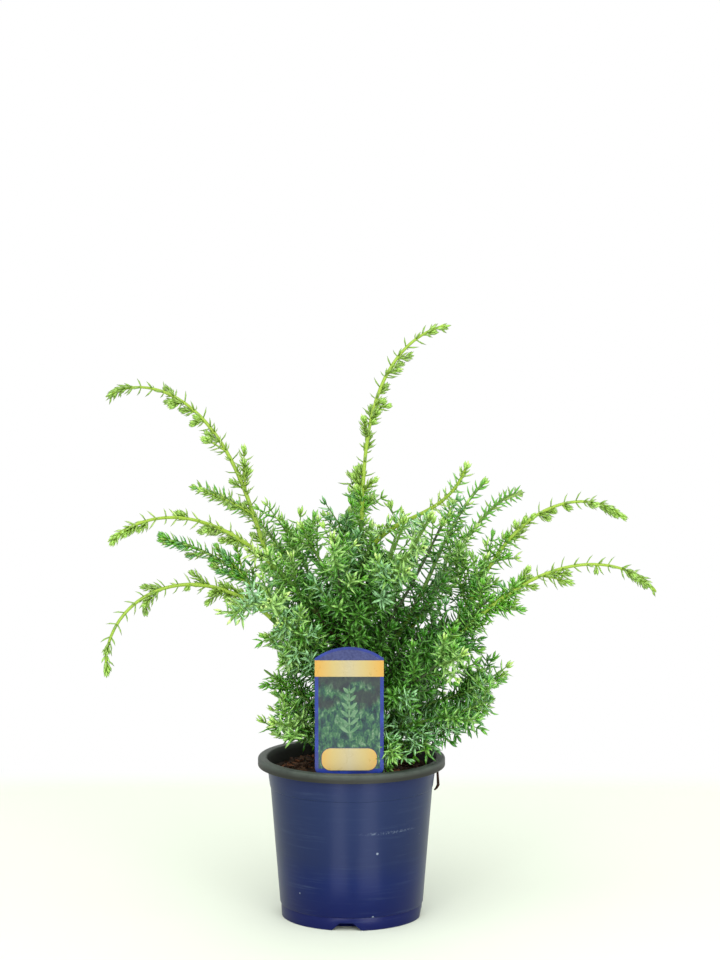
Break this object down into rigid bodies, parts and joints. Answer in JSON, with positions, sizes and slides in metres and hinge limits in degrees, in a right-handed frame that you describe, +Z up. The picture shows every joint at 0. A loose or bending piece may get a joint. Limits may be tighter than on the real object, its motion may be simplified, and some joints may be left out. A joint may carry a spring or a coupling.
{
  "type": "potted flaky juniper",
  "caption": "Young spreading juniper shrub with arching shoots and blue-green needles, in a round plastic nursery pot of compost with a picture label.",
  "frame": {"origin": "middle of the pot's flat underside", "axes": "+Z up along the pot's axis, -Y towards the front of the plant and its label, +X to the right seen from the front"},
  "size_m": [0.5058, 0.3537, 0.5335],
  "materials": {
    "pot_plastic": "satin navy plastic with a grey-green rolled rim",
    "compost": "dark moist bark compost",
    "label_card": "printed plastic card",
    "bark": "rough red-brown bark",
    "foliage": "green needles, yellow-green at the tips"
  },
  "bodies": {
    "root": {"bough_back": "bark", "bough_back_left": "bark", "bough_back_right": "bark", "bough_drooping_left": "bark", "bough_front": "bark", "bough_front_left": "bark", "bough_front_right": "bark", "bough_left": "bark", "bough_lower_right": "bark", "bough_outer_left": "bark", "bough_right": "bark", "bough_top": "bark", "bough_upper_left": "bark", "bough_upper_right": "bark", "compost": "compost", "label": "label_card", "mass_back": "foliage", "mass_back_left": "foliage", "mass_back_right": "foliage", "mass_drooping_left_1": "foliage", "mass_drooping_left_2": "foliage", "mass_front": "foliage", "mass_front_left": "foliage", "mass_front_right": "foliage", "mass_high_1": "foliage", "mass_high_2": "foliage", "mass_high_3": "foliage", "mass_high_4": "foliage", "mass_high_5": "foliage", "mass_high_6": "foliage", "mass_high_7": "foliage", "mass_left": "foliage", "mass_low_1": "foliage", "mass_low_2": "foliage", "mass_low_3": "foliage", "mass_low_4": "foliage", "mass_low_5": "foliage", "mass_low_6": "foliage", "mass_low_7": "foliage", "mass_low_8": "foliage", "mass_lower_right": "foliage", "mass_middle_1": "foliage", "mass_middle_2": "foliage", "mass_middle_3": "foliage", "mass_middle_4": "foliage", "mass_middle_5": "foliage", "mass_middle_6": "foliage", "mass_middle_7": "foliage", "mass_middle_8": "foliage", "mass_outer_left": "foliage", "mass_right": "foliage", "mass_top_1": "foliage", "mass_top_2": "foliage", "mass_upper_left_1": "foliage", "mass_upper_left_2": "foliage", "mass_upper_right": "foliage", "pot": "pot_plastic", "trunk": "bark"}
  },
  "joints": []
}
